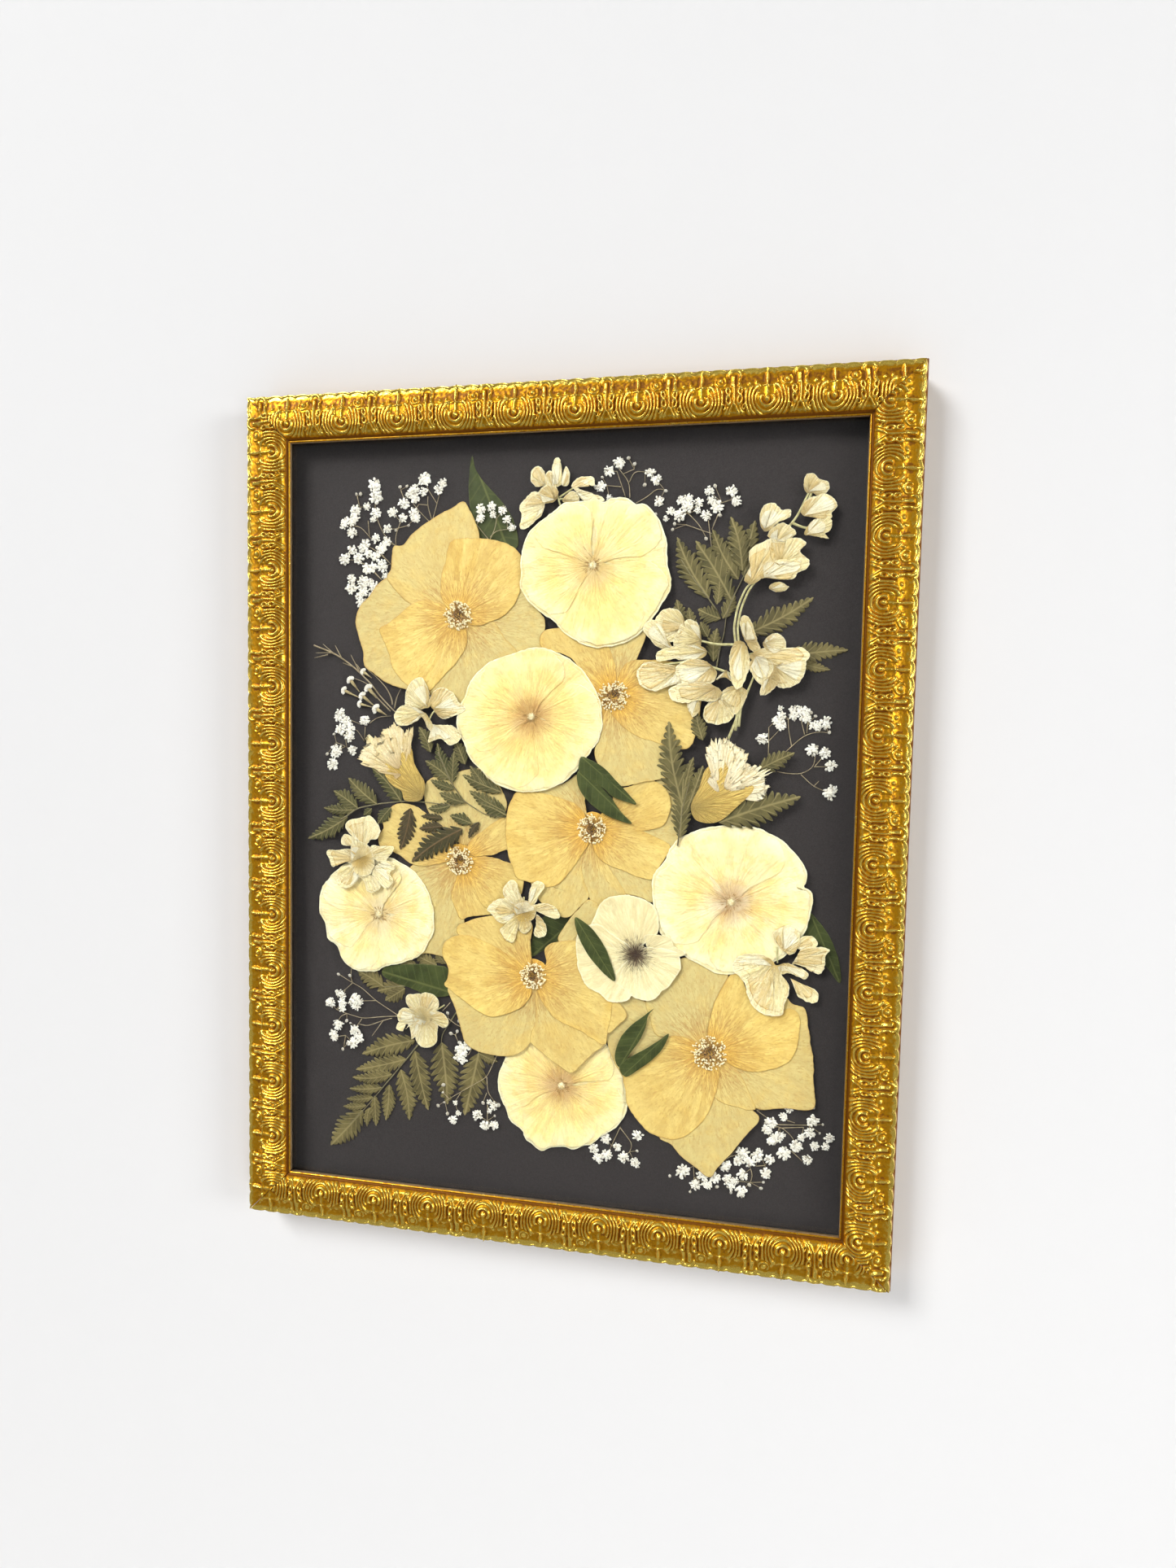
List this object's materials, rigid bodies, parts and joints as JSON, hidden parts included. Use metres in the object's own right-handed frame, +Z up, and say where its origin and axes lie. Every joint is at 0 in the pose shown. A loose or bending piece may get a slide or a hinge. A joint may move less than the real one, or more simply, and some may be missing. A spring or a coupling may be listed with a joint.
{
  "type": "pressed flower frame",
  "caption": "Glazed wall frame with a gilded scroll moulding round a collage of pressed, dried flowers, ferns and leaves on a dark board.",
  "frame": {"origin": "centre of the backing panel's back face, which lies flush with the backs of the rails", "axes": "+X to the right seen from the front, +Z up as it hangs, -Y out of the glass towards the viewer, so +Y towards the wall"},
  "size_m": [0.3426, 0.0209, 0.4442],
  "materials": {
    "gilded_moulding": "gilded relief with dark patina in the hollows",
    "glass": "clear, polished",
    "spacer": "matt black mat strip",
    "board": "matt charcoal card with a fine tooth",
    "hardboard": "smooth brown hardboard",
    "plated_steel": "nickel plated",
    "rose_petal": "papery dried petal, matt",
    "bloom_petal": "papery dried petal, matt and slightly see-through",
    "blossom_petal": "papery dried petal, matt",
    "carnation": "dry straw-coloured petal and calyx, matt",
    "leaf": "dry leaf, dark green, satin",
    "fern": "dry frond, olive brown, matt",
    "breath": "dry floret, chalky white"
  },
  "bodies": {
    "root": {"rail_top": "gilded_moulding", "rail_bottom": "gilded_moulding", "rail_left": "gilded_moulding", "rail_right": "gilded_moulding", "glass_pane": "glass", "spacer_mat": "spacer", "mount_board": "board", "backing_panel": "hardboard", "sawtooth_hanger": "plated_steel", "turn_point_top": "plated_steel", "turn_point_bottom": "plated_steel", "turn_point_left": "plated_steel", "turn_point_right": "plated_steel", "rose_upper_left": "rose_petal", "rose_upper_right": "rose_petal", "rose_centre": "rose_petal", "rose_left": "rose_petal", "rose_lower_centre": "rose_petal", "rose_lower_right": "rose_petal", "cream_bloom_top": "bloom_petal", "cream_bloom_centre": "bloom_petal", "cream_bloom_right": "bloom_petal", "cream_bloom_left": "bloom_petal", "cream_bloom_bottom": "bloom_petal", "pansy": "blossom_petal", "larkspur_top": "blossom_petal", "larkspur_left": "blossom_petal", "larkspur_on_bloom": "blossom_petal", "larkspur_centre": "blossom_petal", "larkspur_lower_left": "blossom_petal", "larkspur_right": "blossom_petal", "carnation_left": "carnation", "carnation_right": "carnation", "stock_stem": "blossom_petal", "leaf_top": "leaf", "leaf_pair_centre": "leaf", "leaf_on_pansy": "leaf", "leaf_pair_lower": "leaf", "leaf_right": "leaf", "leaf_lower_left": "leaf", "leaf_centre": "leaf", "fern_upper_right": "fern", "fern_right": "fern", "fern_far_right": "fern", "fern_by_carnation": "fern", "fern_left": "fern", "fern_lower_left": "fern", "fern_bottom_left": "fern", "fern_bottom_centre": "fern", "breath_upper_left": "breath", "breath_on_leaf": "breath", "breath_top": "breath", "breath_upper_right": "breath", "breath_right": "breath", "breath_left": "breath", "breath_lower_left": "breath", "breath_bottom_left": "breath", "breath_bottom": "breath", "breath_bottom_right": "breath", "wax_flower": "carnation"}
  },
  "joints": []
}
